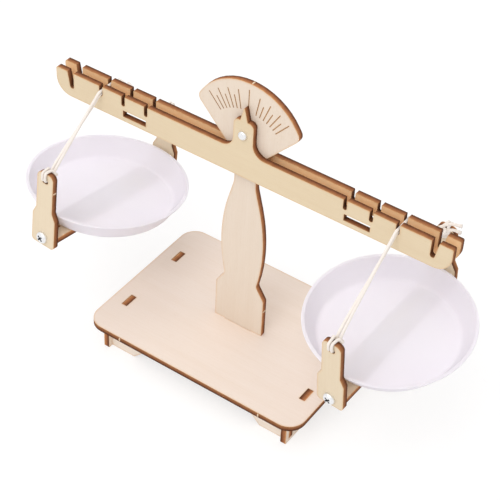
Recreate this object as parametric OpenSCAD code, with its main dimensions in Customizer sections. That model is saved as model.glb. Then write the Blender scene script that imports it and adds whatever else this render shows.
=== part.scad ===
// Balance scale toy in laser-cut plywood: a footed base, a post that widens into a dial,
// twin notched beams on one pivot screw, and two plastic pans hung on string slings.
// X runs along the beam, -Y faces the reader of the dial, Z is up, and the feet stand on z = 0.

/* [Plywood] */
// Thickness of the plywood sheet
ply = 3; // [2.5:0.1:4]
// Play between a tab and its slot, on each side
slot_play = 0.1; // [0.05:0.05:0.2]

/* [Base] */
// Width of the base plate
base_w = 125; // [110:1:150]
// Depth of the base plate
base_d = 88.8; // [84:0.2:120]
// Corner radius of the base plate
base_corner = 9; // [2:1:15]

/* [Feet] */
// Height of the legs under the base plate
leg_h = 15; // [12:1:25]
// Distance from the side of the base to the middle of a leg
leg_inset = 8.7; // [6:0.1:12]
// Distance from the front of the base to the end of a leg
leg_setback = 5; // [2:0.5:8]
// Distance between the two tabs of a leg
leg_tab_gap = 41.6; // [30:0.2:48]
// Length of each leg tab
leg_tab_l = 8; // [5:0.5:12]
// How far a leg tab stops short of the top of the base
leg_tab_sink = 0.3; // [0:0.1:0.8]
// Length of each foot at the ends of a leg or rail
foot_l = 14; // [10:0.5:18]
// Height of the arch between the feet
arch_rise = 8; // [5:0.5:9]
// Distance from the end of a leg to the middle of a rail
rail_inset = 4.2; // [3.5:0.1:6]
// Height of the rail tab that goes through the leg
rail_tab_h = 6; // [4:0.5:8]
// Height of the rail tab above the floor
rail_tab_up = 2; // [1:0.5:3.5]

/* [Post] */
// Width of the foot of the post
post_foot_w = 28; // [24:1:36]
// Height of the foot of the post
post_foot_h = 23; // [16:0.5:26]
// Width of the waist
waist_w = 18.6; // [14:0.2:22]
// Height of the waist above the foot of the post
waist_rise = 7.5; // [5:0.5:12]
// Width where the sides of the swell would meet before they are rounded
swell_w = 29; // [24:0.5:34]
// Height of the swell, as a share of the way from the waist to the neck
swell_share = 0.45; // [0.35:0.01:0.55]
// Share of the swell's shorter side that its rounding takes up
swell_fill = 0.84; // [0.5:0.02:0.9]
// Width of the neck
neck_w = 12; // [9:0.5:14]
// Length of the neck below the point where the dial's sides would meet
neck_l = 9; // [5:0.5:14]
// Radius of the shoulder and waist
shoulder_r = 3; // [1:0.5:4]
// Length of the tab under the post
post_tab_l = 16; // [10:1:22]

/* [Dial] */
// Height of the pivot above the base plate
pivot_h = 121.2; // [100:0.2:140]
// Radius of the dial's rim
dial_r = 30; // [26:0.5:36]
// Distance of the rim's centre below the pivot
dial_drop = 3.7; // [1:0.1:6]
// Angle of the dial's sides from upright
fan_angle = 43; // [35:1:50]
// Distance below the pivot where the dial's sides would meet
fan_drop = 22.1; // [19:0.1:25]
// Angle from upright where the rim leaves its circle
rim_angle = 58; // [50:1:60]
// Radius of the dial's corners
dial_corner = 4; // [2:0.5:5]
// Distance of the marks' centre below the pivot
mark_drop = 11.1; // [9:0.1:13]
// Angle between two marks
mark_angle = 5.2; // [4:0.1:5.5]
// Radius where the marks start
mark_in = 22.3; // [20:0.1:24]
// Radius where the long marks end
mark_long = 32.4; // [31:0.1:34]
// Radius where the middle mark ends
mark_mid = 34; // [32:0.1:36]
// Radius where the short marks end
mark_short = 29.2; // [27:0.1:30.5]
// Width of a mark
mark_w = 0.45; // [0.3:0.05:0.8]
// Depth of a mark
mark_depth = 0.25; // [0.1:0.05:0.6]

/* [Beam] */
// Length of the beams
beam_l = 218; // [206:1:240]
// Height of the beams
beam_h = 14; // [13:0.5:18]
// Distance from the pivot down to the top edge of the beams
beam_drop = 9.8; // [8:0.2:11]
// Radius of the lower corners of the beams
beam_end_r = 8.5; // [4:0.5:10]
// Width of the hub that holds the pivot
hub_w = 10.8; // [9.6:0.2:15]
// Height of the hub above the pivot
hub_rise = 7.6; // [6:0.2:11]
// Radius of the hub's upper corners
hub_corner = 2.6; // [1:0.2:2.8]
// Radius where the hub runs into the beam
hub_fillet = 6.5; // [3:0.5:8]
// Width of the pointer at its root
pointer_w = 4; // [3:0.2:4]
// Length of the pointer
pointer_l = 6.9; // [5:0.1:9]

/* [Notches] */
// Distance from the pivot to the string notch
string_arm = 81.8; // [78:0.2:86]
// Distance between the plain notches
notch_pitch = 13.4; // [11:0.2:15]
// Width of a plain notch
notch_w = 2; // [2:0.1:3.2]
// Depth of a plain notch
notch_d = 5.4; // [4.8:0.2:6.5]
// Distance from the string notch to the hook notch
hook_step = 16.6; // [15:0.2:19]
// Width of the hook notch at its mouth
hook_mouth = 3.8; // [3:0.2:4.5]
// Width of the hook notch at its floor
hook_w = 2.4; // [2:0.1:3]
// Depth of the hook notch
hook_d = 9; // [7:0.5:10.5]
// Length of the window under the notches
window_l = 13.6; // [10:0.2:16]
// Height of the window
window_h = 3.6; // [2.5:0.1:4]
// Height of the window above the lower edge
window_up = 2.6; // [2:0.1:4]

/* [Pivot] */
// Diameter of the pivot screw
pivot_d = 3; // [2.5:0.1:3.5]
// Length of the pivot screw under its head
pivot_l = 14; // [13.6:0.2:18]
// Radial play of the pivot screw in the post
pivot_play = 0.06; // [0.02:0.01:0.1]
// Thickness of the washers beside the post
washer_t = 0.3; // [0.2:0.1:1]
// Diameter of the washers
washer_d = 7; // [6:0.5:9]
// Side play between a washer and the post
washer_play = 0.05; // [0.05:0.05:0.3]
// Width of the nut across its flats
nut_af = 5.5; // [5:0.1:7]
// Thickness of the nut
nut_t = 2.4; // [2:0.1:3]
// Diameter of the pivot screw's domed head
dome_d = 4.6; // [4:0.1:6]
// Height of the pivot screw's domed head
dome_h = 1.6; // [1:0.1:2.2]

/* [Pans] */
// Radius of the pan's rim
pan_r = 40.7; // [36:0.1:44]
// Radius of the pan's floor
pan_floor_r = 34; // [30:0.1:37]
// Depth of the pan
pan_depth = 11; // [7:0.5:15]
// Wall of the pan
pan_wall = 0.9; // [0.7:0.1:1.6]
// Radius between the floor and the side of the pan
pan_bend = 3; // [1.5:0.5:4]
// Width of the bead along the rim
rim_bead = 0.7; // [0.5:0.1:1.8]
// Turn of the left pan about its upright line, as it settled on its string
left_turn_angle = -4; // [-12:1:12]
// Turn of the right pan about its upright line, as it settled on its string
right_turn_angle = -4; // [-12:1:12]
// Tip of the left pan towards the front, as its string lies in the notch
left_tip_angle = -6; // [-8:1:8]
// Tip of the right pan towards the front, as its string lies in the notch
right_tip_angle = 6; // [-8:1:8]
// Lean of the left pan about its swing line, away from the post
left_lean_angle = 1; // [-3:0.5:3]
// Lean of the right pan about its swing line, away from the post
right_lean_angle = 0; // [-3:0.5:3]
// Height of the middle of a tipped pan above its hanger screws
tip_rise = 14; // [8:1:20]

/* [Hangers] */
// Gap between the pan's rim and the hangers
hanger_gap = 1.8; // [0.8:0.1:3]
// Width of the lower part of a hanger
hanger_w = 14.5; // [13:0.5:18]
// Width of the upper part of a hanger
hanger_neck_w = 10.2; // [9:0.2:12]
// Distance from the screw to the string hole
hanger_l = 33.2; // [30:0.2:38]
// Distance from the screw to the lower edge
hanger_below = 4.7; // [4:0.1:7]
// Distance from the screw to the start of the shoulder
hanger_shoulder = 12; // [10:0.5:18]
// Distance from the string hole to the top edge
hanger_above = 4.2; // [4:0.1:6]
// Radius of the upper corners of a hanger
hanger_r = 3; // [1.5:0.5:4]
// Width of the crossbar under the pan
bar_w = 14; // [12:0.5:18]
// Height of the string hole
string_hole_h = 2.8; // [2.4:0.1:3.2]
// Diameter of the hanger screws
tapper_d = 2.4; // [2:0.1:2.6]
// Length of a hanger screw under its head
tapper_l = 11; // [8:0.5:14]
// Length of the point of a hanger screw
tapper_point = 2; // [1:0.5:3]
// Play of a hanger screw in its hole and pilot slot
tapper_play = 0.05; // [0.02:0.01:0.1]
// Diameter of the hanger screws' heads
head_d = 6.2; // [4.8:0.1:7]
// Height of the hanger screws' heads
head_h = 2.1; // [1.6:0.1:2.6]
// Length of the arms of the cross in a screw head
cross_l = 3.4; // [2:0.1:3.6]
// Width of the arms of the cross in a screw head
cross_w = 0.9; // [0.5:0.1:1]
// Depth of the cross in a screw head
cross_depth = 1.1; // [0.6:0.1:1.4]

/* [Slings] */
// Diameter of the string
string_d = 1.5; // [1.2:0.1:1.6]
// Drop from the string in the notch to the string hole of the hangers
hang_drop = 35.8; // [32:0.2:50]
// Play between the string and the wood
string_play = 0.2; // [0.15:0.05:0.3]
// Length of each tail of the knot
tail_l = 7; // [4:1:14]
// Share of the way from the notch to the hanger where the left knot lies
left_knot_share = 0.12; // [0.12:0.01:0.88]
// Share of the way from the notch to the hanger where the right knot lies
right_knot_share = 0.86; // [0.12:0.01:0.88]

/* [Hidden] */
$fn = 48;
// Overshoot of a cut past the face it opens
cut = 1;

LEFT = -1;
RIGHT = 1;
FRONT = -1;
REAR = 1;

WOOD = "#e9d6b4";
STEEL = "#d5d7d9";
PLASTIC = "#ece8f2";
STRING = "#f3efe6";

// Heights of the main levels
base_top = leg_h + ply;
pivot_z = base_top + pivot_h;
beam_top = pivot_z - beam_drop;
notch_floor = beam_top - notch_d;

// Two strands lie one above the other in the notch, and the pan swings about the line between them
strand_pitch = string_d + string_play;
swing_z = notch_floor + string_play + string_d / 2 + strand_pitch / 2;
hole_z = swing_z - hang_drop;
screw_z = hole_z - hanger_l;
hanger_top = hole_z + hanger_above;

// Distances from the middle plane
leg_x = base_w / 2 - leg_inset;
leg_l = base_d - 2 * leg_setback;
rail_y = leg_l / 2 - rail_inset;
beam_in_y = ply / 2 + washer_play + washer_t;
beam_out_y = beam_in_y + ply;
hanger_in_y = pan_r + hanger_gap;
hanger_out_y = hanger_in_y + ply;

// String hole in a hanger, wide enough for two strands side by side
string_hole_w = 2 * string_d + 4 * string_play;

// Rounds every corner [x, y, radius] of an outline with an arc between its two sides
function unit(v) = v / norm(v);
function corner_arc(a, b, c, steps) =
    let (
        p = [b.x, b.y],
        to_a = unit([a.x, a.y] - p),
        to_c = unit([c.x, c.y] - p),
        half = acos(max(-1, min(1, to_a * to_c))) / 2,
        reach = b.z / tan(half),
        centre = p + unit(to_a + to_c) * b.z / sin(half),
        from = p + to_a * reach - centre,
        to = p + to_c * reach - centre,
        start = atan2(from.y, from.x),
        sweep = atan2(from.x * to.y - from.y * to.x, from * to)
    )
    [for (i = [0:steps])
        let (t = start + sweep * i / steps)
        centre + b.z * [cos(t), sin(t)]];
// Radius of the arc that takes up the given length of both sides of a corner
function corner_radius(a, b, c, reach) = reach * tan(acos(unit(a - b) * unit(c - b)) / 2);
function rounded(pts, steps = 8) =
    let (n = len(pts))
    [for (i = [0:n - 1])
        let (b = pts[i])
        let (before = pts[(i + n - 1) % n], after = pts[(i + 1) % n])
        for (q = b.z > 0 ? corner_arc(before, b, after, steps) : [[b.x, b.y]]) q];
function mirrored(pts) = [for (i = [len(pts) - 1:-1:0]) [-pts[i].x, pts[i].y, pts[i].z]];
function both_sides(pts) = concat(pts, mirrored(pts));

// Plate cut from an outline in the XZ plane, with its middle plane at y
module upright_plate(y) {
    translate([0, y + ply / 2, 0]) rotate([90, 0, 0]) linear_extrude(ply) children();
}

// Plate cut from an outline in the YZ plane, with its middle plane at x
module side_plate(x) {
    translate([x - ply / 2, 0, 0]) rotate([90, 0, 90]) linear_extrude(ply) children();
}

// Plate cut from an outline in the XY plane, with its lower face at z
module flat_plate(z) {
    translate([0, 0, z]) linear_extrude(ply) children();
}

// Opening that takes a tab of the given size with play all round
module tab_slot(size) {
    square([size.x + 2 * slot_play, size.y + 2 * slot_play], center = true);
}

// Outline of a board with a foot at each end and an arch between them
module arched_board(length) {
    end = length / 2;
    polygon(rounded(both_sides([
        [end - foot_l - arch_rise, arch_rise, 1],
        [end - foot_l, 0, 0.5],
        [end, 0, 0.5],
        [end, leg_h, 0]
    ])));
}

module base_plate() color(WOOD) flat_plate(leg_h) difference() {
    polygon(rounded(both_sides([
        [base_w / 2, -base_d / 2, base_corner],
        [base_w / 2, base_d / 2, base_corner]
    ])));
    for (x = [-leg_x, leg_x], y = [-leg_tab_gap / 2, leg_tab_gap / 2])
        translate([x, y]) tab_slot([ply, leg_tab_l]);
    tab_slot([post_tab_l, ply]);
}

module leg(side) color(WOOD) side_plate(side * leg_x) difference() {
    union() {
        arched_board(leg_l);
        for (y = [-leg_tab_gap / 2, leg_tab_gap / 2])
            translate([y - leg_tab_l / 2, arch_rise])
                square([leg_tab_l, base_top - leg_tab_sink - arch_rise]);
    }
    for (y = [-rail_y, rail_y])
        translate([y, rail_tab_up + rail_tab_h / 2]) tab_slot([ply, rail_tab_h]);
}

module rail(face) color(WOOD) upright_plate(face * rail_y) {
    arched_board(2 * leg_x - ply);
    for (side = [LEFT, RIGHT])
        translate([side * (leg_x - cut / 2), rail_tab_up + rail_tab_h / 2])
            square([ply + cut, rail_tab_h], center = true);
}

// Outline of the post and its dial, upwards from the base plate
module post_outline() {
    rim_z = pivot_h - dial_drop;
    fan_z = pivot_h - fan_drop;
    slope = tan(fan_angle);
    // The rim runs straight on from its circle until it meets the side of the dial
    rim_end = dial_r * [sin(rim_angle), cos(rim_angle)] + [0, rim_z];
    run = ((rim_end.y - fan_z) * slope - rim_end.x)
        / (cos(rim_angle) + sin(rim_angle) * slope);
    dial_tip = rim_end + run * [cos(rim_angle), -sin(rim_angle)];
    waist = [waist_w / 2, post_foot_h + waist_rise];
    neck = [neck_w / 2, fan_z - neck_l];
    swell = [swell_w / 2, waist.y + swell_share * (neck.y - waist.y)];
    swell_r = corner_radius(waist, swell, neck, swell_fill * min(norm(waist - swell), norm(neck - swell)));
    right_side = [
        [post_foot_w / 2, 0, 0],
        [post_foot_w / 2, post_foot_h, shoulder_r],
        [waist.x, waist.y, shoulder_r],
        [swell.x, swell.y, swell_r],
        [neck.x, neck.y, neck_w],
        [neck_w / 2, fan_z + neck_w / 2 / slope, 3],
        [dial_tip.x, dial_tip.y, dial_corner]
    ];
    top = [0, rim_z + dial_r / cos(rim_angle), dial_r];
    polygon(rounded(concat(right_side, [top], mirrored(right_side)), 16));
}

// Marks of the dial: the longest one upright, then short and long ones in turn to each side
function mark_end(i) = i == 0 ? mark_mid : i % 2 == 0 ? mark_long : mark_short;
module dial_marks() {
    translate([0, -ply / 2, pivot_z - mark_drop])
        for (i = [-8:8])
            if (abs(i) != 1)
                rotate([0, i * mark_angle, 0])
                    translate([-mark_w / 2, -cut, mark_in])
                        cube([mark_w, cut + mark_depth, mark_end(i) - mark_in]);
}

module dial_post() color(WOOD) difference() {
    translate([0, 0, base_top]) upright_plate(0) {
        post_outline();
        translate([-post_tab_l / 2, -ply]) square([post_tab_l, ply + cut]);
    }
    pivot_bore(pivot_d + 2 * pivot_play, ply);
    dial_marks();
}

// Bore along the pivot line, through a plate of the given thickness about the middle plane
module pivot_bore(d, length) {
    translate([0, 0, pivot_z]) rotate([90, 0, 0])
        cylinder(d = d, h = length + 2 * cut, center = true);
}

// Notch with a round floor, open at the top edge of the beam
module plain_notch() {
    translate([-notch_w / 2, notch_w / 2 - notch_d]) square([notch_w, notch_d]);
    translate([0, notch_w / 2 - notch_d]) circle(d = notch_w);
}

// Hook notch: its inner wall is upright, its outer wall leans in to a round floor
module hook_notch() {
    root = hook_w / 2 - hook_d;
    polygon([[0, cut], [0, root], [hook_w, root], [hook_mouth, 0], [hook_mouth, cut]]);
    translate([hook_w / 2, root]) circle(d = hook_w);
}

module beam_cuts() {
    for (i = [0:2])
        translate([string_arm - i * notch_pitch, 0]) plain_notch();
    translate([string_arm + hook_step, 0]) hook_notch();
    translate([string_arm - 1.5 * notch_pitch - window_l / 2, window_up - beam_h])
        square([window_l, window_h]);
}

// Outline of a beam, with its top edge on the X axis
module beam_outline() {
    hub_top = beam_drop + hub_rise;
    difference() {
        polygon(rounded(both_sides([
            [beam_l / 2, -beam_h, beam_end_r],
            [beam_l / 2, 0, 0.8],
            [hub_w / 2, 0, hub_fillet],
            [hub_w / 2, hub_top, hub_corner],
            [pointer_w / 2, hub_top, 0],
            [0.25, hub_top + pointer_l, 0]
        ])));
        beam_cuts();
        mirror([1, 0]) beam_cuts();
    }
}

module beam(face) color(WOOD) difference() {
    translate([0, 0, beam_top]) upright_plate(face * (beam_in_y + ply / 2)) beam_outline();
    pivot_bore(pivot_d + 2 * pivot_play, 2 * beam_out_y);
}

// Ring round the pivot screw between a beam and the post
module washer(face) color(STEEL) translate([0, face * (beam_in_y - washer_t / 2), pivot_z])
    rotate([90, 0, 0]) difference() {
        cylinder(d = washer_d, h = washer_t, center = true);
        cylinder(d = pivot_d + 4 * pivot_play, h = washer_t + 2 * cut, center = true);
    }

// Domed screw head on the XY plane
module dome(d, h) {
    rotate_extrude() polygon(rounded([
        [0, 0, 0],
        [d / 2, 0, 0],
        [d / 2, h, h * 0.7],
        [0, h, 0]
    ]));
}

// Screw head with a cross in its top
module cross_head() {
    difference() {
        dome(head_d, head_h);
        for (turn = [0, 90])
            rotate([0, 0, turn + 45]) translate([-cross_l / 2, -cross_w / 2, head_h - cross_depth])
                cube([cross_l, cross_w, cross_depth + cut]);
    }
}

module pivot_screw() color(STEEL) translate([0, -beam_out_y, pivot_z]) rotate([90, 0, 0]) {
    dome(dome_d, dome_h);
    translate([0, 0, -pivot_l]) cylinder(d = pivot_d, h = pivot_l + dome_h / 2);
}

module pivot_nut() color(STEEL) translate([0, beam_out_y, pivot_z]) rotate([-90, 0, 0])
    difference() {
        cylinder(d = nut_af / cos(30), h = nut_t, $fn = 6);
        translate([0, 0, -cut]) cylinder(d = pivot_d + 2 * pivot_play, h = nut_t + 2 * cut);
    }

// Everything that hangs from one string notch, turned and tipped about its middle and swung out
tip_z = screw_z + tip_rise;
function turn(side) = side == LEFT ? left_turn_angle : right_turn_angle;
function tip(side) = side == LEFT ? left_tip_angle : right_tip_angle;
function lean(side) = side == LEFT ? left_lean_angle : -right_lean_angle;
module hung(side) {
    translate([side * string_arm, 0, swing_z])
        rotate([0, lean(side), 0])
            translate([0, 0, tip_z - swing_z])
                rotate([tip(side), 0, 0])
                    rotate([0, 0, turn(side)])
                        translate([0, 0, -tip_z]) children();
}
// Place of a point of a hung set, given across, outwards to one face, and up
function hung_at(side, face, p) =
    let (
        x = p.x * cos(turn(side)) - face * p.y * sin(turn(side)),
        y = p.x * sin(turn(side)) + face * p.y * cos(turn(side)),
        z = p.z - tip_z,
        below = tip_z - swing_z + y * sin(tip(side)) + z * cos(tip(side))
    )
    [
        side * string_arm + x * cos(lean(side)) + below * sin(lean(side)),
        y * cos(tip(side)) - z * sin(tip(side)),
        swing_z - x * sin(lean(side)) + below * cos(lean(side))
    ];

module pan(side) color(PLASTIC) hung(side) translate([0, 0, screw_z + ply / 2])
    rotate_extrude($fn = 96) polygon(rounded([
        [0, 0, 0],
        [pan_floor_r, 0, pan_bend],
        [pan_r - rim_bead, pan_depth - rim_bead, 0.3],
        [pan_r, pan_depth - rim_bead, rim_bead / 2.2],
        [pan_r, pan_depth, rim_bead / 2.2],
        [pan_r - rim_bead - pan_wall, pan_depth, 0.3],
        [pan_floor_r - pan_wall / 2, pan_wall, pan_bend - pan_wall / 2],
        [0, pan_wall, 0]
    ]));

module crossbar(side) color(WOOD) hung(side) flat_plate(screw_z - ply / 2) difference() {
    square([bar_w, 2 * hanger_in_y], center = true);
    for (face = [FRONT, REAR])
        translate([0, face * (hanger_out_y - tapper_l / 2)])
            square([tapper_d + 2 * tapper_play, tapper_l + 2 * tapper_play], center = true);
}

module hanger(side, face) color(WOOD) hung(side)
    upright_plate(face * (hanger_in_y + ply / 2)) difference() {
        polygon(rounded(both_sides([
            [hanger_w / 2, screw_z - hanger_below, 2],
            [hanger_w / 2, screw_z + hanger_shoulder, 1.5],
            [hanger_neck_w / 2, screw_z + hanger_shoulder + hanger_w - hanger_neck_w, 1.5],
            [hanger_neck_w / 2, hanger_top, hanger_r]
        ])));
        translate([0, screw_z]) circle(d = tapper_d + 2 * tapper_play);
        translate([0, hole_z]) polygon(rounded(both_sides([
            [string_hole_w / 2, -string_hole_h / 2, 1.1],
            [string_hole_w / 2, string_hole_h / 2, 1.1]
        ])));
    }

module hanger_screw(side, face) color(STEEL) hung(side)
    translate([0, face * hanger_out_y, screw_z]) rotate([face * -90, 0, 0]) {
        cross_head();
        rotate_extrude() polygon([
            [0, -tapper_l],
            [tapper_d / 2, tapper_point - tapper_l],
            [tapper_d / 2, head_h / 2],
            [0, head_h / 2]
        ]);
    }

// Tube of the given diameter along a list of points
function bend_sides(along, i = 0, last = [1, 0, 0], done = []) =
    i == len(along) ? done
    : let (side = unit(last - (last * along[i]) * along[i]))
        bend_sides(along, i + 1, side, concat(done, [side]));
module tube(path, d, n = 8) {
    rings = len(path);
    along = [for (i = [0:rings - 1]) unit(path[min(i + 1, rings - 1)] - path[max(i - 1, 0)])];
    sides = bend_sides(along);
    points = [for (i = [0:rings - 1], k = [0:n - 1])
        let (t = 360 * k / n)
        path[i] + d / 2 * (cos(t) * sides[i] + sin(t) * cross(along[i], sides[i]))];
    walls = [for (i = [0:rings - 2], k = [0:n - 1])
        let (a = i * n + k, b = i * n + (k + 1) % n)
        each [[a, a + n, b], [b, a + n, b + n]]];
    caps = [for (k = [1:n - 2])
        let (last = (rings - 1) * n)
        each [[0, k, k + 1], [last, last + k + 1, last + k]]];
    polyhedron(points = points, faces = concat(walls, caps));
}

// Points of one strand on its hanger: across, outwards and up.
// The strand goes out through the string hole, up the outer face and back over the top edge.
wrap_r = string_d / 2 + string_play;
hole_roof = hole_z + string_hole_h / 2;
function arc_round(y, z, from) =
    [for (t = [from:45:from + 90]) [y + wrap_r * cos(t), z + wrap_r * sin(t)]];
function strand_start(strand) =
    [strand * strand_pitch / 2, hanger_in_y - wrap_r - 2.7, hanger_top + 1.2];
function hitch(strand) =
    let (
        loop = concat(
            arc_round(hanger_in_y, hole_roof, 180),
            arc_round(hanger_out_y, hole_roof, 270),
            arc_round(hanger_out_y, hanger_top, 0),
            arc_round(hanger_in_y, hanger_top, 90)
        )
    )
    concat(
        [strand_start(strand)],
        [for (i = [0:11])
            [strand * (strand_pitch / 2 + 0.35 * max(0, i - 8)), loop[i].x, loop[i].y]],
        [
            [strand * 2.35, hanger_in_y - wrap_r - 0.3, hanger_top - 1],
            [strand * 1.9, hanger_in_y - wrap_r - 1.7, hanger_top - 2.1]
        ]
    );
fold = [0, hanger_in_y - wrap_r - 2.2, hanger_top - 2.6];

// Two strands leave the notch one above the other and turn side by side on their way down
function near_notch(side, face, strand) =
    let (
        exit = [side * string_arm, face * (beam_out_y + 1.1), swing_z],
        turned = exit + 0.1 * (hung_at(side, face, strand_start(0)) - exit)
    )
    [
        exit + [0, 0, strand * strand_pitch / 2],
        turned + strand * [0.6, 0, 0.6]
    ];
function reversed(list) = [for (i = [len(list) - 1:-1:0]) list[i]];
// One strand from the notch to the hanger, and a whole end of a sling out and back
function sling_leg(side, face, strand) =
    concat(near_notch(side, face, strand), [for (p = hitch(strand)) hung_at(side, face, p)]);
function sling_end(side, face, strand) = concat(
    sling_leg(side, face, strand), [hung_at(side, face, fold)], reversed(sling_leg(side, face, -strand))
);

// The knot lies beside the rear part of the upper strand, a share of the way down to the hanger
function knot_share(side) = side == LEFT ? left_knot_share : right_knot_share;
function knot_line(side) = [near_notch(side, REAR, 1)[1], hung_at(side, REAR, strand_start(1))];
function knot_point(side) =
    let (line = knot_line(side))
    line[0] + (line[1] - line[0]) * knot_share(side) + [knot_push, 0, 0];

module sling(side) color(STRING) {
    rear = sling_end(side, REAR, 1);
    gap = 0.5 * unit(rear[2] - rear[1]);
    tube(concat(
        [knot_point(side) + gap],
        [for (i = [2:len(rear) - 1]) rear[i]],
        sling_end(side, FRONT, -1),
        [rear[0], rear[1]],
        [knot_point(side) - gap]
    ), string_d);
}

// The knot winds one and a half turns round the joined ends and lets its two tails stand up
coil_r = 0.98 * string_d;
coil_pitch = 1.03 * string_d;
knot_push = coil_r;
tail_lean = [[-68, -52], [46, 58]];
module knot(side) color(STRING) {
    line = knot_line(side);
    along = unit(line[1] - line[0]);
    across = unit([1, 0, 0] - along.x * along);
    up = cross(across, along);
    coil = [for (t = [180:36:720])
        coil_r * (cos(t) * across + sin(t) * up) + (t / 360 - 1.25) * coil_pitch * along];
    lean = tail_lean[side == LEFT ? 0 : 1];
    tails = [for (a = lean) cos(a) * up + sin(a) * across];
    path = concat(
        [coil[0] + tail_l * tails[0], coil[0] + tail_l / 2 * unit(tails[0] + up), coil[0] + 0.8 * up],
        coil,
        [coil[15] + 0.8 * up, coil[15] + tail_l / 2 * unit(tails[1] + up), coil[15] + tail_l * tails[1]]
    );
    translate(knot_point(side)) tube(path, string_d);
}

base_plate();
leg(LEFT);  // left_leg
leg(RIGHT);  // right_leg
rail(FRONT);  // front_rail
rail(REAR);  // rear_rail
dial_post();
beam(FRONT);  // front_beam
beam(REAR);  // rear_beam
washer(FRONT);  // front_washer
washer(REAR);  // rear_washer
pivot_screw();
pivot_nut();
pan(LEFT);  // left_pan
crossbar(LEFT);  // left_crossbar
hanger(LEFT, FRONT);  // left_front_hanger
hanger(LEFT, REAR);  // left_rear_hanger
hanger_screw(LEFT, FRONT);  // left_front_screw
hanger_screw(LEFT, REAR);  // left_rear_screw
sling(LEFT);  // left_sling
knot(LEFT);  // left_knot
pan(RIGHT);  // right_pan
crossbar(RIGHT);  // right_crossbar
hanger(RIGHT, FRONT);  // right_front_hanger
hanger(RIGHT, REAR);  // right_rear_hanger
hanger_screw(RIGHT, FRONT);  // right_front_screw
hanger_screw(RIGHT, REAR);  // right_rear_screw
sling(RIGHT);  // right_sling
knot(RIGHT);  // right_knot
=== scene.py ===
import math

import bmesh
import bpy
import numpy as np
from mathutils import Matrix, Vector


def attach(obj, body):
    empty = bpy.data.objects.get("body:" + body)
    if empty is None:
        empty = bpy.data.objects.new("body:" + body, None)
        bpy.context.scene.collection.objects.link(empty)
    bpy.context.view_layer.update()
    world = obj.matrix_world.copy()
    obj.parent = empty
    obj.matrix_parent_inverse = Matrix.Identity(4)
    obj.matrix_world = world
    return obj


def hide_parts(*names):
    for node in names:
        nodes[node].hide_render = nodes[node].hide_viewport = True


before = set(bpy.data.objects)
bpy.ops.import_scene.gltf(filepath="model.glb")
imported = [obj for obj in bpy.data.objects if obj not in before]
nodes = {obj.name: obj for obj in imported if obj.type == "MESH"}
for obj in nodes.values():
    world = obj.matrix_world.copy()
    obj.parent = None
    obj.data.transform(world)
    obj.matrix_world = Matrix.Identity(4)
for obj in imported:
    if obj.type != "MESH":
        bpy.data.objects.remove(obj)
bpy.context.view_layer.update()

# Studio: a white sweep in even light, with a soft box in front and one above on the left.
# The sweep stays white to the eye and still takes the shadow of the toy.
scene = bpy.context.scene
scene.view_settings.view_transform = "Standard"
daylight = (1.0, 0.99, 0.985)


def put(tree, kind, inputs=None, **settings):
    """A node in the tree, with its settings and the values or links of its inputs."""
    node = tree.nodes.new("ShaderNode" + kind)
    for name, value in settings.items():
        setattr(node, name, value)
    for name, value in (inputs or {}).items():
        if isinstance(value, bpy.types.NodeSocket):
            tree.links.new(value, node.inputs[name])
        else:
            node.inputs[name].default_value = value
    return node


def new_material(name):
    """A material with no nodes in it yet."""
    made = bpy.data.materials.new(name)
    made.use_nodes = True
    made.node_tree.nodes.clear()
    return made


def seen_directly(tree):
    """One where the eye, a mirror or a clear piece looks straight at the surface."""
    path = put(tree, "LightPath")
    some = put(tree, "Math", {0: path.outputs["Is Camera Ray"], 1: path.outputs["Is Glossy Ray"]},
               operation="MAXIMUM")
    return put(tree, "Math", {0: some.outputs[0], 1: path.outputs["Is Transmission Ray"]},
               operation="MAXIMUM").outputs[0]


world = bpy.data.worlds.new("studio")
scene.world = world
world.use_nodes = True
sky = world.node_tree
sky.nodes.clear()
sky_light = put(sky, "Background", {"Color": (*daylight, 1), "Strength": 0.75})
sky_white = put(sky, "Background", {"Color": (1, 1, 1, 1), "Strength": 1.0})
sky_mix = put(sky, "MixShader", {0: seen_directly(sky), 1: sky_light.outputs[0], 2: sky_white.outputs[0]})
put(sky, "OutputWorld", {"Surface": sky_mix.outputs[0]})

sweep_finish = new_material("white sweep")
tree = sweep_finish.node_tree
sweep_grain = put(tree, "TexNoise", {"Scale": 900.0, "Detail": 3.0})
sweep_tone = put(tree, "MixRGB", {0: sweep_grain.outputs["Fac"], 1: (0.9, 0.9, 0.9, 1),
                                  2: (0.92, 0.92, 0.92, 1)})
sweep_lit = put(tree, "BsdfDiffuse", {"Color": sweep_tone.outputs[0]})
sweep_shade = put(tree, "BsdfDiffuse", {"Color": (0.36, 0.36, 0.36, 1)})
sweep_glow = put(tree, "Emission", {"Color": (1, 1, 1, 1), "Strength": 0.68})
sweep_seen = put(tree, "AddShader", {0: sweep_shade.outputs[0], 1: sweep_glow.outputs[0]})
sweep_mix = put(tree, "MixShader", {0: seen_directly(tree), 1: sweep_lit.outputs[0],
                                    2: sweep_seen.outputs[0]})
put(tree, "OutputMaterial", {"Surface": sweep_mix.outputs[0]})

bpy.ops.mesh.primitive_plane_add(size=8, location=(0, 0, 0))
sweep = bpy.context.object
sweep.name = "sweep"
sweep.data.materials.append(sweep_finish)


def soft_box(name, place, aim, size, power):
    """A round lamp that looks from its place towards aim."""
    lamp = bpy.data.lights.new(name, "AREA")
    lamp.shape = "DISK"
    lamp.size = size
    lamp.energy = power
    lamp.color = daylight
    light = bpy.data.objects.new(name, lamp)
    scene.collection.objects.link(light)
    light.location = place
    light.rotation_euler = (Vector(aim) - Vector(place)).to_track_quat("-Z", "Y").to_euler()


soft_box("key", place=(0.05, -0.85, 1.2), aim=(0, 0, 0.08), size=1.0, power=6.7)
soft_box("top", place=(-0.45, 0.1, 1.25), aim=(-0.05, 0, 0.05), size=1.0, power=2.8)

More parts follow.
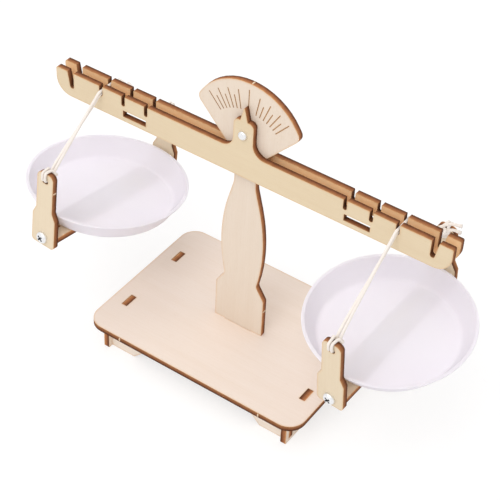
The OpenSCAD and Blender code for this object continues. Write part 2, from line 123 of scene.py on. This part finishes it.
# Camera: a long lens in front of the right end, well above the toy.
# It is turned a little about its own line of sight.
turn_round, rise, roll = math.radians(32.684), math.radians(41.8355), math.radians(3.1719)
looked_at = Vector((0.003515, 0.000572, 0.068417))
stand_off = 0.72666
back = Vector((math.sin(turn_round) * math.cos(rise), -math.cos(turn_round) * math.cos(rise),
               math.sin(rise)))
level = Vector((math.cos(turn_round), math.sin(turn_round), 0))
upward = back.cross(level)
right = level * math.cos(roll) + upward * math.sin(roll)
upward = upward * math.cos(roll) - level * math.sin(roll)
camera_data = bpy.data.cameras.new("camera")
camera_data.sensor_width = 36
camera_data.lens = 109.284
camera_data.clip_start, camera_data.clip_end = 0.01, 20
camera = bpy.data.objects.new("camera", camera_data)
scene.collection.objects.link(camera)
camera.matrix_world = Matrix.Translation(looked_at + back * stand_off) @ Matrix(
    (right, upward, back)).transposed().to_4x4()
scene.camera = camera

# Base plate: one board of 3 mm three-layer plywood with round corners, cut by laser.
# The cut chars its edges and slots, and a faint warm rim of smoke lies on the faces beside them.


def new_group(name, inputs, outputs):
    """An empty node group with named sockets, and its two end nodes."""
    group = bpy.data.node_groups.new(name, "ShaderNodeTree")
    for way, sockets in (("INPUT", inputs), ("OUTPUT", outputs)):
        for label, kind in sockets:
            group.interface.new_socket(label, in_out=way, socket_type="NodeSocket" + kind)
    return group, group.nodes.new("NodeGroupInput"), group.nodes.new("NodeGroupOutput")


def value(tree, operation, *terms):
    """A Math node's result, from numbers and links."""
    return put(tree, "Math", dict(enumerate(terms)), operation=operation).outputs[0]


def step(tree, x, low, high):
    """Zero below low, one above high, and a smooth rise between them."""
    return put(tree, "MapRange", {"Value": x, "From Min": low, "From Max": high},
               interpolation_type="SMOOTHSTEP").outputs["Result"]


def stretched_noise(tree, place, stretch, detail=3.0, rough=0.55):
    """Noise over a place in millimetres, finer where stretch is larger."""
    scaled = put(tree, "VectorMath", {0: place, 1: stretch}, operation="MULTIPLY")
    return put(tree, "TexNoise", {"Vector": scaled.outputs[0], "Scale": 1.0, "Detail": detail,
                                  "Roughness": rough}).outputs["Fac"]


def tinted(tree, share, first, second, blend="MIX"):
    """The first colour with a share of the second."""
    return put(tree, "MixRGB", {0: share, 1: first, 2: second}, blend_type=blend).outputs[0]


# Where a point lies on its board, in millimetres along the grain, across it and through the sheet,
# and how squarely the surface there looks through the sheet.
board_place, given, result = new_group(
    "board place",
    [("Point", "Vector"), ("Normal", "Vector"), ("Middle", "Vector"), ("Along", "Vector"),
     ("Across", "Vector"), ("Through", "Vector")],
    [("Place", "Vector"), ("Facing", "Float")])
tree = board_place
from_middle = put(tree, "VectorMath", {0: given.outputs["Point"], 1: given.outputs["Middle"]},
                  operation="SUBTRACT").outputs[0]
millimetres = put(tree, "VectorMath", {0: from_middle, "Scale": 1000.0}, operation="SCALE").outputs[0]
parts = [put(tree, "VectorMath", {0: millimetres, 1: given.outputs[way]},
             operation="DOT_PRODUCT").outputs["Value"] for way in ("Along", "Across", "Through")]
joined = put(tree, "CombineXYZ", dict(zip("XYZ", parts)))
square_on = put(tree, "VectorMath", {0: given.outputs["Normal"], 1: given.outputs["Through"]},
                operation="DOT_PRODUCT").outputs["Value"]
tree.links.new(joined.outputs[0], result.inputs["Place"])
tree.links.new(value(tree, "ABSOLUTE", square_on), result.inputs["Facing"])

# Plywood: pale veneer with fine fibres and short pores, smoke beside the cuts, charred layered edges.
fibre_shade, pore_shade = (0.96, 0.94, 0.915, 1), (0.86, 0.78, 0.68, 1)
amber, smoke_brown, engraved_brown = (0.95, 0.6, 0.31, 1), (0.72, 0.46, 0.24, 1), (0.56, 0.3, 0.135, 1)
char_tones = [(0.0, (0.09, 0.035, 0.016, 1)), (0.22, (0.19, 0.068, 0.03, 1)), (0.5, (0.35, 0.133, 0.056, 1)),
              (0.8, (0.47, 0.2, 0.082, 1)), (0.93, (0.58, 0.28, 0.12, 1)), (1.0, (0.7, 0.4, 0.18, 1))]
smoke_reach, slot_reach = 0.0013, 0.004
plywood_look, given, result = new_group(
    "plywood",
    [("Place", "Vector"), ("Facing", "Float"), ("Half Sheet", "Float"), ("Veneer", "Color"),
     ("Amber Tint", "Float"), ("Char", "Float"), ("Shift", "Vector")],
    [("Colour", "Color"), ("Roughness", "Float"), ("Height", "Float")])
tree = plywood_look
place = put(tree, "VectorMath", {0: given.outputs["Place"], 1: given.outputs["Shift"]},
            operation="ADD").outputs[0]
through = put(tree, "SeparateXYZ", {0: given.outputs["Place"]}).outputs["Z"]
half = given.outputs["Half Sheet"]
depth = value(tree, "DIVIDE", through, half)
sunk = value(tree, "SUBTRACT", half, value(tree, "ABSOLUTE", through))
flat = step(tree, given.outputs["Facing"], 0.5, 0.8)
below_face = step(tree, sunk, 0.05, 0.12)
# Veneer
figure = stretched_noise(tree, place, (0.014, 0.16, 0.02), 2.0)
fibres = stretched_noise(tree, place, (0.05, 1.5, 0.3), 5.0, 0.65)
pores = step(tree, stretched_noise(tree, place, (0.28, 3.6, 0.5), 2.0), 0.6, 0.74)
tone = value(tree, "ADD", value(tree, "MULTIPLY", step(tree, figure, 0.3, 0.75), 0.45),
             value(tree, "MULTIPLY", step(tree, fibres, 0.3, 0.75), 0.55))
fibre = tinted(tree, 1.0, given.outputs["Veneer"], fibre_shade, "MULTIPLY")
veneer = tinted(tree, tone, given.outputs["Veneer"], fibre)
veneer = tinted(tree, value(tree, "MULTIPLY", pores, 0.3), veneer,
                tinted(tree, 1.0, fibre, pore_shade, "MULTIPLY"))
# Amber tint on one face: in front where the input is above zero, behind where it is below
amber_patch = stretched_noise(tree, place, (0.06, 0.2, 0.1), 3.0)
amber_tint = value(tree, "MULTIPLY", value(tree, "MULTIPLY", given.outputs["Amber Tint"], depth),
              value(tree, "ADD", 0.6, value(tree, "MULTIPLY", amber_patch, 0.8)))
amber_tint = value(tree, "MINIMUM", value(tree, "MAXIMUM", amber_tint, 0.0), 1.0)
veneer = tinted(tree, amber_tint, veneer, amber)
# Smoke beside the cuts
near_cut = put(tree, "AmbientOcclusion", {"Distance": smoke_reach}, samples=6, inside=True, only_local=True)
smoke_patch = stretched_noise(tree, place, (0.18, 0.18, 0.18), 3.0)
smoke = value(tree, "MULTIPLY", step(tree, value(tree, "SUBTRACT", 1.0, near_cut.outputs["AO"]), 0.05, 0.6),
              value(tree, "ADD", 0.25, smoke_patch))
face_colour = tinted(tree, value(tree, "MULTIPLY", smoke, 0.8), veneer, smoke_brown)
# Charred edge: tan beside the face where the beam entered, dark where it left, and darkened further in narrow
# cuts by painted shade
scorch = stretched_noise(tree, place, (0.35, 0.35, 0.12), 4.0)
strips = stretched_noise(tree, place, (4.5, 4.5, 0.25), 2.0)
depth_rough = value(tree, "ADD", value(tree, "MULTIPLY_ADD", depth, 0.5, 0.5),
                    value(tree, "MULTIPLY", value(tree, "SUBTRACT", scorch, 0.5), 0.4))
burnt = put(tree, "ValToRGB", {0: depth_rough})
ramp = burnt.color_ramp
for end in (0, -1):
    ramp.elements[end].position, ramp.elements[end].color = char_tones[end]
for at, colour in char_tones[1:-1]:
    ramp.elements.new(at).color = colour
layers = put(tree, "MapRange", {
    "Value": value(tree, "ABSOLUTE", value(tree, "SUBTRACT", value(tree, "ABSOLUTE", depth), 0.36)),
    "From Min": 0.0, "From Max": 0.06, "To Min": 0.72, "To Max": 1.0})
# Painted shade: the edge colour turns darker where the walls of a narrow cut close in round it
painted_slot_shade = put(tree, "AmbientOcclusion", {"Distance": slot_reach}, samples=6, only_local=True)
open_air = value(tree, "MULTIPLY_ADD", step(tree, painted_slot_shade.outputs["AO"], 0.25, 0.85), 0.72, 0.28)
darker = value(tree, "MULTIPLY", value(tree, "MULTIPLY", layers.outputs["Result"], open_air),
               value(tree, "MULTIPLY_ADD", strips, 0.5, 0.76))
edge_colour = put(tree, "VectorMath", {0: burnt.outputs["Color"], "Scale": value(
    tree, "MULTIPLY", darker, given.outputs["Char"])}, operation="SCALE").outputs[0]
engraved = value(tree, "MULTIPLY", flat, below_face)
edge_colour = tinted(tree, engraved, edge_colour, engraved_brown)
on_face = value(tree, "SUBTRACT", flat, engraved)
colour = tinted(tree, on_face, edge_colour, face_colour)
roughness = value(tree, "ADD", value(tree, "MULTIPLY_ADD", on_face, -0.2, 0.84),
                  value(tree, "MULTIPLY", pores, 0.06))
face_height = value(tree, "ADD", value(tree, "MULTIPLY", fibres, 0.6), value(tree, "MULTIPLY", pores, -0.5))
height = put(tree, "Mix", {0: on_face, 2: value(tree, "MULTIPLY", strips, 1.6), 3: face_height}).outputs[0]
for label, made in (("Colour", colour), ("Roughness", roughness), ("Height", height)):
    tree.links.new(made, result.inputs[label])

# Half the sheet in the groups' millimetres, and how far into the grain the boards begin, in metres.
half_sheet_mm, grain_start = 1.5, 0.37


def plywood(name, middle, along, through, veneer, amber_tint=0.0, char=1.0):
    """Plywood of one board, from its middle, its grain and the way to the face the laser entered."""
    made = new_material(name)
    tree = made.node_tree
    along, through = Vector(along), Vector(through)
    spot = put(tree, "TexCoord")
    at = put(tree, "Group", node_tree=board_place)
    tree.links.new(spot.outputs["Object"], at.inputs["Point"])
    tree.links.new(spot.outputs["Normal"], at.inputs["Normal"])
    at.inputs["Middle"].default_value = middle
    at.inputs["Along"].default_value = along
    at.inputs["Across"].default_value = through.cross(along)
    at.inputs["Through"].default_value = through
    look = put(tree, "Group", node_tree=plywood_look)
    tree.links.new(at.outputs["Place"], look.inputs["Place"])
    tree.links.new(at.outputs["Facing"], look.inputs["Facing"])
    look.inputs["Half Sheet"].default_value = half_sheet_mm
    look.inputs["Veneer"].default_value = veneer
    look.inputs["Amber Tint"].default_value = amber_tint
    look.inputs["Char"].default_value = char
    look.inputs["Shift"].default_value = [1000 * (c + grain_start) for c in middle]
    bump = put(tree, "Bump", {"Height": look.outputs["Height"], "Strength": 0.35, "Distance": 0.00006})
    skin = put(tree, "BsdfPrincipled", {
        "Base Color": look.outputs["Colour"], "Roughness": look.outputs["Roughness"],
        "Normal": bump.outputs[0], "IOR": 1.45, "Specular IOR Level": 0.15})
    put(tree, "OutputMaterial", {"Surface": skin.outputs[0]})
    return made


def finish_node(name, made):
    """Gives a node of the frame its finish."""
    nodes[name].data.materials.clear()
    nodes[name].data.materials.append(made)


base_middle_z = 0.0165
finish_node("base_plate", plywood("base plywood", (0, 0, base_middle_z), along=(1, 0, 0), through=(0, 0, 1),
                                  veneer=(0.86, 0.75, 0.665, 1), char=0.72))

# Legs: two plywood boards on edge under the ends of the base, with an arch between two feet.
# Their tabs come up through the base slots, and the rails are tabbed into them.
leg_x, leg_middle_z = 0.0538, 0.0075
for name, side in (("left_leg", -1), ("right_leg", 1)):
    finish_node(name, plywood(name.replace("_", " ") + " plywood", (side * leg_x, 0, leg_middle_z),
                              along=(0, 1, 0), through=(side, 0, 0), veneer=(0.87, 0.75, 0.64, 1)))

# Rails: two plywood boards on edge along the front and the back, arched like the legs.
# Their ends go through the legs as short tabs.
rail_y = 0.0352
# Painted light: their veneer is lighter than the other boards', standing in for the light bounced up from the
# floor
for name, face in (("front_rail", -1), ("rear_rail", 1)):
    finish_node(name, plywood(name.replace("_", " ") + " plywood", (0, face * rail_y, leg_middle_z),
                              along=(1, 0, 0), through=(0, face, 0), veneer=(0.95, 0.85, 0.75, 1)))

# Dial post: one plywood board cut as foot, waist, swell, neck and fan, tabbed into the base.
# The scale on the fan is engraved by the same laser, which leaves brown lines.
post_middle_z = 0.08
finish_node("dial_post", plywood("dial plywood", (0, 0, post_middle_z), along=(0, 0, 1), through=(0, -1, 0),
                                 veneer=(0.81, 0.7, 0.59, 1)))

# Beams: a matching pair of plywood boards that clamp the post between them.
# Notches for the strings are cut into the top edge, a small window under them, and a pointer on the hub.
# The faces that look at each other across the gap between them are tinted a darker amber.
beam_y, beam_middle_z = 0.00335, 0.1224
for name, face in (("front_beam", -1), ("rear_beam", 1)):
    finish_node(name, plywood(name.replace("_", " ") + " plywood", (0, face * beam_y, beam_middle_z),
                              along=(1, 0, 0), through=(0, -1, 0), veneer=(0.775, 0.645, 0.455, 1),
                              amber_tint=0.58 * face, char=0.82))

# Pivot: a pan head screw through both beams and the post, two thin washers beside the post and a nut.
# All are zinc plated steel; the rolled thread shows where the screw leaves the nut.
grey_zinc, bright_zinc, painted_recess_shade = (0.78, 0.79, 0.81, 1), (0.9, 0.9, 0.9, 1), (0.1, 0.1, 0.11, 1)


def zinc(name, axis_point, axis, shank_radius, thread_pitch):
    """Bright zinc plate with fine marks, painted shade in the recess, and a thread where it is thin as the
    shank.
    """
    made = new_material(name)
    tree = made.node_tree
    spot = put(tree, "TexCoord")
    off = put(tree, "VectorMath", {0: spot.outputs["Object"], 1: axis_point}, operation="SUBTRACT").outputs[0]
    run = put(tree, "VectorMath", {0: off, 1: axis}, operation="DOT_PRODUCT").outputs["Value"]
    on_line = put(tree, "VectorMath", {0: Vector(axis), "Scale": run}, operation="SCALE").outputs[0]
    radius = put(tree, "VectorMath", {0: off, 1: on_line}, operation="DISTANCE").outputs["Value"]
    on_shank = value(tree, "LESS_THAN", radius, shank_radius * 1.04)
    thread = value(tree, "PINGPONG", value(tree, "DIVIDE", run, thread_pitch), 0.5)
    marks = put(tree, "TexNoise", {"Vector": spot.outputs["Object"], "Scale": 2600.0, "Detail": 4.0})
    cloud = put(tree, "TexNoise", {"Vector": spot.outputs["Object"], "Scale": 420.0, "Detail": 2.0})
    # Painted shade: the colour turns dark where the recess closes in
    recess = put(tree, "AmbientOcclusion", {"Distance": 0.0012}, samples=6, only_local=True).outputs["AO"]
    tone = tinted(tree, cloud.outputs["Fac"], grey_zinc, bright_zinc)
    tone = tinted(tree, step(tree, recess, 0.45, 0.95), painted_recess_shade, tone)
    roughness = put(tree, "MapRange", {"Value": marks.outputs["Fac"], "To Min": 0.2,
                                       "To Max": 0.38}).outputs["Result"]
    height = value(tree, "ADD", value(tree, "MULTIPLY", value(tree, "MULTIPLY", thread, on_shank), 2.0),
                   value(tree, "MULTIPLY", marks.outputs["Fac"], 0.04))
    bump = put(tree, "Bump", {"Height": height, "Strength": 0.6, "Distance": 0.00025})
    skin = put(tree, "BsdfPrincipled", {"Base Color": tone, "Metallic": 1.0, "Roughness": roughness,
                                        "Normal": bump.outputs[0]})
    put(tree, "OutputMaterial", {"Surface": skin.outputs[0]})
    return made


pivot_z, pivot_r, pivot_pitch = 0.1392, 0.0015, 0.0005
pivot_zinc = zinc("pivot zinc", (0, 0, pivot_z), (0, 1, 0), pivot_r, pivot_pitch)
for name in ("pivot_screw", "pivot_nut", "front_washer", "rear_washer"):
    finish_node(name, pivot_zinc)

# Pan sets: everything that hangs from one string notch, a little turned and tipped as it settled.
# Each has its side, and its turn, tip and lean in degrees; the pieces below lie by them.
string_arm, swing_z, tip_z = 0.0818, 0.1258, 0.0708
settled = {"left": (-1, -4, -6, 1), "right": (1, -4, 6, 0)}


def hung(which):
    """The matrix that takes a straight pan set to its settled place."""
    side, turn, tip, lean = settled[which]
    return (Matrix.Translation((side * string_arm, 0, swing_z))
            @ Matrix.Rotation(math.radians(-side * lean), 4, "Y")
            @ Matrix.Translation((0, 0, tip_z - swing_z)) @ Matrix.Rotation(math.radians(tip), 4, "X")
            @ Matrix.Rotation(math.radians(turn), 4, "Z") @ Matrix.Translation((0, 0, -tip_z)))


# Crossbars and hangers: plywood straps, with a hanger butted against each end of the bar under a pan.
# A screw through each hanger into the end of the bar holds them.
screw_z, hanger_y = 0.0568, 0.044
for which in settled:
    lie = hung(which)
    turned = lie.to_3x3()
    finish_node(f"{which}_crossbar", plywood(
        f"{which} crossbar plywood", lie @ Vector((0, 0, screw_z)),
        along=turned @ Vector((0, 1, 0)), through=turned @ Vector((0, 0, 1)), veneer=(0.88, 0.72, 0.54, 1)))
    for where, face in (("front", -1), ("rear", 1)):
        finish_node(f"{which}_{where}_hanger", plywood(
            f"{which} {where} hanger plywood", lie @ Vector((0, face * hanger_y, screw_z)),
            along=turned @ Vector((0, 0, 1)), through=turned @ Vector((0, face, 0)),
            veneer=(0.8, 0.68, 0.51, 1), char=0.78))

# Hanger screws: small zinc plated pan head screws with a cross recess.
# Each is driven through a hanger into the end of its crossbar.
tapper_r, tapper_pitch = 0.0012, 0.0009
for which in settled:
    lie = hung(which)
    for where in ("front", "rear"):
        finish_node(f"{which}_{where}_screw", zinc(
            f"{which} {where} screw zinc", lie @ Vector((0, 0, screw_z)),
            lie.to_3x3() @ Vector((0, 1, 0)), tapper_r, tapper_pitch))

# Pans: thin dishes of frosted see-through plastic, drawn from sheet, with a small bead along the rim.
# They rest on the crossbars between the hangers.
lilac, pale_lilac = (0.97, 0.935, 1.0, 1), (0.985, 0.955, 1.0, 1)
pan_plastic = new_material("frosted plastic")
tree = pan_plastic.node_tree
spot = put(tree, "TexCoord")
frost = put(tree, "TexNoise", {"Vector": spot.outputs["Object"], "Scale": 1500.0, "Detail": 3.0})
waves = put(tree, "TexNoise", {"Vector": spot.outputs["Object"], "Scale": 45.0, "Detail": 2.0})
tint = tinted(tree, waves.outputs["Fac"], lilac, pale_lilac)
dull = put(tree, "MapRange", {"Value": frost.outputs["Fac"], "To Min": 0.5,
                              "To Max": 0.62}).outputs["Result"]
height = value(tree, "ADD", value(tree, "MULTIPLY", frost.outputs["Fac"], 0.1), waves.outputs["Fac"])
bump = put(tree, "Bump", {"Height": height, "Strength": 0.2, "Distance": 0.0002})
skin = put(tree, "BsdfPrincipled", {"Base Color": tint, "Roughness": dull, "Normal": bump.outputs[0],
                                    "IOR": 1.3, "Transmission Weight": 0.25, "Specular IOR Level": 0.3})
put(tree, "OutputMaterial", {"Surface": skin.outputs[0]})
for which in settled:
    finish_node(f"{which}_pan", pan_plastic)

# Slings: one piece of white twisted cotton string for each pan, tied into a loop.
# It lies double in the notch, and each end is hitched through the hanger's hole and back over its top.
string_d, string_play = 0.0015, 0.0002
strand_pitch = string_d + string_play
beam_out_y = 0.00485
hole_z, hanger_top = 0.09, 0.0942
hanger_in_y, hanger_out_y = 0.0425, 0.0455
wrap_r = string_d / 2 + string_play
hole_half = 0.0014
hole_roof = hole_z + hole_half
# In the notch the strands lie one over the other, and outside the beam they turn towards the hanger.
strand_rise, clear_of_beam, first_turn = 0.00077, 0.0011, 0.1
# They reach the hanger side by side, spread on its top edge, and are tucked in behind it.
lead_in, lead_up = 0.0027, 0.0012
spread, first_spread_point = 0.00035, 8
tuck_1, tuck_2, fold_tuck = (0.00235, 0.0003, 0.001), (0.0019, 0.0017, 0.0021), (0, 0.0022, 0.0026)


def unit(v):
    """The same way with a length of one."""
    return v / np.linalg.norm(v)


def hung_at(which, face, across, outward, up):
    """A place on a pan set, from the way across its hanger, outward from its middle and up."""
    return np.array(hung(which) @ Vector((across, face * outward, up)))


def arc_round(y, z, start):
    """A quarter turn of the string round one edge of a hanger."""
    return [(y + wrap_r * math.cos(math.radians(t)), z + wrap_r * math.sin(math.radians(t)))
            for t in (start, start + 45, start + 90)]


def tucked(strand, tuck):
    """A point behind the hanger, across it, inward from the wrap and below its top."""
    across, inward, down = tuck
    return strand * across, hanger_in_y - wrap_r - inward, hanger_top - down


def hitch(strand):
    """Across, outward and up for one strand on its hanger: out by the hole and back over the top edge."""
    loop = (arc_round(hanger_in_y, hole_roof, 180) + arc_round(hanger_out_y, hole_roof, 270)
            + arc_round(hanger_out_y, hanger_top, 0) + arc_round(hanger_in_y, hanger_top, 90))
    return ([(strand * strand_pitch / 2, hanger_in_y - wrap_r - lead_in, hanger_top + lead_up)]
            + [(strand * (strand_pitch / 2 + spread * max(0, i - first_spread_point)), y, z)
               for i, (y, z) in enumerate(loop)]
            + [tucked(strand, tuck_1), tucked(strand, tuck_2)])


def near_notch(which, face, strand):
    """One strand inside the beam, just outside it, and where it has turned towards the hanger."""
    side = settled[which][0]
    way_out = np.array((side * string_arm, face * (beam_out_y + clear_of_beam), swing_z))
    start = hung_at(which, face, 0, hanger_in_y - wrap_r - lead_in, hanger_top + lead_up)
    turned = way_out + first_turn * (start - way_out)
    within = np.array((side * string_arm, face * beam_y, swing_z))
    return [p + (0, 0, strand * strand_rise) for p in (within, way_out, turned)]


def sling_leg(which, face, strand):
    """One strand from the notch to its hanger and round it."""
    return near_notch(which, face, strand) + [hung_at(which, face, *p) for p in hitch(strand)]


def sling_end(which, face, strand):
    """From the notch to the hanger on one strand and back on the other."""
    return (sling_leg(which, face, strand) + [hung_at(which, face, *tucked(0, fold_tuck))]
            + sling_leg(which, face, -strand)[::-1])


knot_share = {"left": 0.12, "right": 0.86}
coil_r, coil_pitch = 0.98 * string_d, 1.03 * string_d


def knot_line(which):
    """Both ends of the straight stretch of string that holds the knot."""
    return near_notch(which, 1, 1)[2], hung_at(which, 1, *hitch(1)[0])


def knot_point(which):
    """The middle of the knot."""
    first, last = knot_line(which)
    return first + (last - first) * knot_share[which] + (coil_r, 0, 0)


def smooth_route(points, spacing, span_points=24):
    """A smooth line through the points, with its own points a fixed distance apart."""
    points = [np.array(p, float) for p in points]
    ends = [2 * points[0] - points[1]] + points + [2 * points[-1] - points[-2]]
    line = []
    for a, b, c, d in zip(ends, ends[1:], ends[2:], ends[3:]):
        t = [0.0]
        for p, q in ((a, b), (b, c), (c, d)):
            t.append(t[-1] + max(np.linalg.norm(q - p), 1e-6) ** 0.5)
        for x in np.linspace(t[1], t[2], span_points, endpoint=False):
            ab = (t[1] - x) / (t[1] - t[0]) * a + (x - t[0]) / (t[1] - t[0]) * b
            bc = (t[2] - x) / (t[2] - t[1]) * b + (x - t[1]) / (t[2] - t[1]) * c
            cd = (t[3] - x) / (t[3] - t[2]) * c + (x - t[2]) / (t[3] - t[2]) * d
            abc = (t[2] - x) / (t[2] - t[0]) * ab + (x - t[0]) / (t[2] - t[0]) * bc
            bcd = (t[3] - x) / (t[3] - t[1]) * bc + (x - t[1]) / (t[3] - t[1]) * cd
            line.append((t[2] - x) / (t[2] - t[1]) * abc + (x - t[1]) / (t[2] - t[1]) * bcd)
    line = np.array(line + [points[-1]])
    along = np.concatenate([[0], np.cumsum(np.linalg.norm(np.diff(line, axis=0), axis=1))])
    at = np.linspace(0, along[-1], max(2, round(along[-1] / spacing) + 1))
    return np.stack([np.interp(at, along, line[:, k]) for k in range(3)], axis=1)


def string_mesh(name, route, sides=12, yarns=3, lay=0.0042, groove=0.16, frayed=0.0):
    """Twisted string along a route: yarns laid together, with closed ends that come apart where frayed."""
    along = np.gradient(route, axis=0)
    along /= np.linalg.norm(along, axis=1)[:, None]
    aslant = (0.3, 0.5, 0.8)
    side = unit(np.cross(along[0], aslant))
    run, points = 0.0, []
    whole = np.linalg.norm(np.diff(route, axis=0), axis=1).sum()
    for i, (p, a) in enumerate(zip(route, along)):
        side = unit(side - side.dot(a) * a)
        other = np.cross(a, side)
        if i:
            run += np.linalg.norm(p - route[i - 1])
        loose = max(0.0, 1 - min(run, whole - run) / frayed) if frayed else 0.0
        for k in range(sides):
            t = 2 * math.pi * k / sides
            ridge = abs(math.cos(yarns / 2 * (t - 2 * math.pi * run / lay)))
            # Fibres stand out unevenly where the end frays
            tuft = 1 + loose * (0.3 + 0.25 * math.sin(2.3 * k + 1.7 * i))
            r = string_d / 2 * (1 - groove + groove * ridge ** 0.7) * tuft
            points.append(p + r * (math.cos(t) * side + math.sin(t) * other))
    rings = len(route)
    faces = [(i * sides + k, i * sides + (k + 1) % sides,
              (i + 1) * sides + (k + 1) % sides, (i + 1) * sides + k)
             for i in range(rings - 1) for k in range(sides)]
    faces += [tuple(range(sides))[::-1], tuple((rings - 1) * sides + k for k in range(sides))]
    mesh = bpy.data.meshes.new(name)
    mesh.from_pydata([tuple(p) for p in points], [], faces)
    mesh.polygons.foreach_set("use_smooth", [True] * len(faces))
    made = bpy.data.objects.new(name, mesh)
    scene.collection.objects.link(made)
    return made


cream, pale_cream, fuzz_shade = (0.87, 0.8, 0.74, 1), (0.93, 0.88, 0.83, 1), (0.74, 0.66, 0.59, 1)
cotton = new_material("cotton string")
tree = cotton.node_tree
spot = put(tree, "TexCoord")
fuzz = put(tree, "TexNoise", {"Vector": spot.outputs["Object"], "Scale": 5200.0, "Detail": 4.0})
patch = put(tree, "TexNoise", {"Vector": spot.outputs["Object"], "Scale": 240.0, "Detail": 2.0})
tone = tinted(tree, patch.outputs["Fac"], cream, pale_cream)
tone = tinted(tree, value(tree, "MULTIPLY", fuzz.outputs["Fac"], 0.25), tone, fuzz_shade)
bump = put(tree, "Bump", {"Height": fuzz.outputs["Fac"], "Strength": 0.5, "Distance": 0.00012})
skin = put(tree, "BsdfPrincipled", {"Base Color": tone, "Roughness": 0.9, "Normal": bump.outputs[0],
                                    "Sheen Weight": 0.3, "Sheen Roughness": 0.5, "Specular IOR Level": 0.2})
put(tree, "OutputMaterial", {"Surface": skin.outputs[0]})

string_step, end_gap = 0.0005, 0.0005
slings = {}
for which in settled:
    rear = sling_end(which, 1, 1)
    gap = end_gap * unit(rear[3] - rear[2])
    route = smooth_route([knot_point(which) + gap] + rear[3:] + sling_end(which, -1, -1)
                         + rear[:3] + [knot_point(which) - gap], string_step)
    sling = string_mesh(f"{which}_string", route)
    sling.data.materials.append(cotton)
    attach(sling, f"{which}_pan_set")
    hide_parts(f"{which}_sling")
    slings[which] = sling, route

# Knots: the two ends of each cotton string wound round each other one and a half turns, with two cut tails.
# The tails fray where they were cut.
tail_l = {"left": (0.0055, 0.0042), "right": (0.0115, 0.0075)}
tail_lean = {"left": (-68, -52), "right": (57, 64)}
tail_droop, tail_lift, tail_arch, frayed_l = 0.0008, 0.0008, 0.35, 0.0022
coil_angles, middle_turn, knot_step = range(180, 721, 36), 1.25, 0.0003
for which in settled:
    first, last = knot_line(which)
    along = unit(last - first)
    across = unit(np.array((1, 0, 0)) - along[0] * along)
    up = np.cross(across, along)
    coil = [coil_r * (math.cos(math.radians(t)) * across + math.sin(math.radians(t)) * up)
            + (t / 360 - middle_turn) * coil_pitch * along for t in coil_angles]
    tails = [math.cos(math.radians(a)) * up + math.sin(math.radians(a)) * across for a in tail_lean[which]]
    ends = [[c + tail_lift * up, c + reach / 2 * unit(t + tail_arch * up), c + reach * t - (0, 0, tail_droop)]
            for c, t, reach in zip((coil[0], coil[-1]), tails, tail_l[which])]
    path = smooth_route([knot_point(which) + p for p in ends[0][::-1] + coil + ends[1]], knot_step)
    knot = string_mesh(f"{which}_tied_knot", path, frayed=frayed_l)
    knot.data.materials.append(cotton)
    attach(knot, f"{which}_pan_set")
    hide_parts(f"{which}_knot")
    sling, route = slings[which]

# Break-off nubs: stubs of the small bridges that held the boards in their sheet until they were pressed out.
# They are raw wood, paler than the charred edges they stand on.
torn_brown, torn_pale = (0.62, 0.42, 0.24, 1), (0.9, 0.74, 0.55, 1)
raw_wood = new_material("raw wood")
tree = raw_wood.node_tree
spot = put(tree, "TexCoord")
splinters = put(tree, "TexNoise", {"Vector": spot.outputs["Object"], "Scale": 3000.0, "Detail": 3.0})
tone = tinted(tree, splinters.outputs["Fac"], torn_brown, torn_pale)
bump = put(tree, "Bump", {"Height": splinters.outputs["Fac"], "Strength": 0.5, "Distance": 0.0001})
skin = put(tree, "BsdfPrincipled", {"Base Color": tone, "Roughness": 0.85, "Normal": bump.outputs[0]})
put(tree, "OutputMaterial", {"Surface": skin.outputs[0]})
nub_w, nub_t, nub_h, nub_root, nub_taper = 0.0008, 0.0024, 0.0004, 0.0003, 0.7
nub_torn = (0.5, 0.9, 0.6, 0.95, 0.4, 0.8, 0.55, 0.7)
nub_corners = [(-1, -1), (0, -1), (1, -1), (1, 0), (1, 1), (0, 1), (-1, 1), (-1, 0)]
sides = len(nub_corners)
dial_top_z, base_front_y = 0.1655, -0.0444
shoulder_x, strap_x = 0.00725, 0.0051
left_hang, right_hang = hung("left"), hung("right")
# Each has its body, its foot on the edge, the way out from the edge and the way through the sheet.
for name, body, foot, out, through in (
        ("dial_nub", "stand", (0.0011, 0, dial_top_z), (0.03, 0, 1), (0, 1, 0)),
        ("post_nub", "stand", (0.014, 0, 0.034), (1, 0, 0), (0, 1, 0)),
        ("base_nub", "stand", (-0.0413, base_front_y, base_middle_z), (0, -1, 0), (0, 0, 1)),
        ("base_nub_2", "stand", (0.0419, base_front_y, base_middle_z), (0, -1, 0), (0, 0, 1)),
        ("shoulder_nub", "right_pan_set", right_hang @ Vector((-shoulder_x, -hanger_y, 0.0675)),
         right_hang.to_3x3() @ Vector((-1, 0, 0)), right_hang.to_3x3() @ Vector((0, 1, 0))),
        ("hanger_nub", "left_pan_set", left_hang @ Vector((strap_x, -hanger_y, 0.0845)),
         left_hang.to_3x3() @ Vector((1, 0, 0)), left_hang.to_3x3() @ Vector((0, 1, 0)))):
    out, through = Vector(out).normalized(), Vector(through).normalized()
    beside = out.cross(through)
    form = bmesh.new()
    root, torn = [[form.verts.new(Vector(foot) + rise * out
                                  + thin * (a * nub_w * beside + b * nub_t * through) / 2)
                   for (a, b), rise in zip(nub_corners, rises)]
                  for thin, rises in ((1, [-nub_root] * sides), (nub_taper, [nub_h * t for t in nub_torn]))]
    tip = form.verts.new(Vector(foot) + nub_h * out)
    form.faces.new(root[::-1])
    for k in range(sides):
        form.faces.new((root[k], root[(k + 1) % sides], torn[(k + 1) % sides], torn[k]))
        form.faces.new((torn[k], torn[(k + 1) % sides], tip))
    bmesh.ops.recalc_face_normals(form, faces=form.faces)
    mesh = bpy.data.meshes.new(name)
    form.to_mesh(mesh)
    form.free()
    nub = bpy.data.objects.new(name, mesh)
    scene.collection.objects.link(nub)
    nub.data.materials.append(raw_wood)
    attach(nub, body)
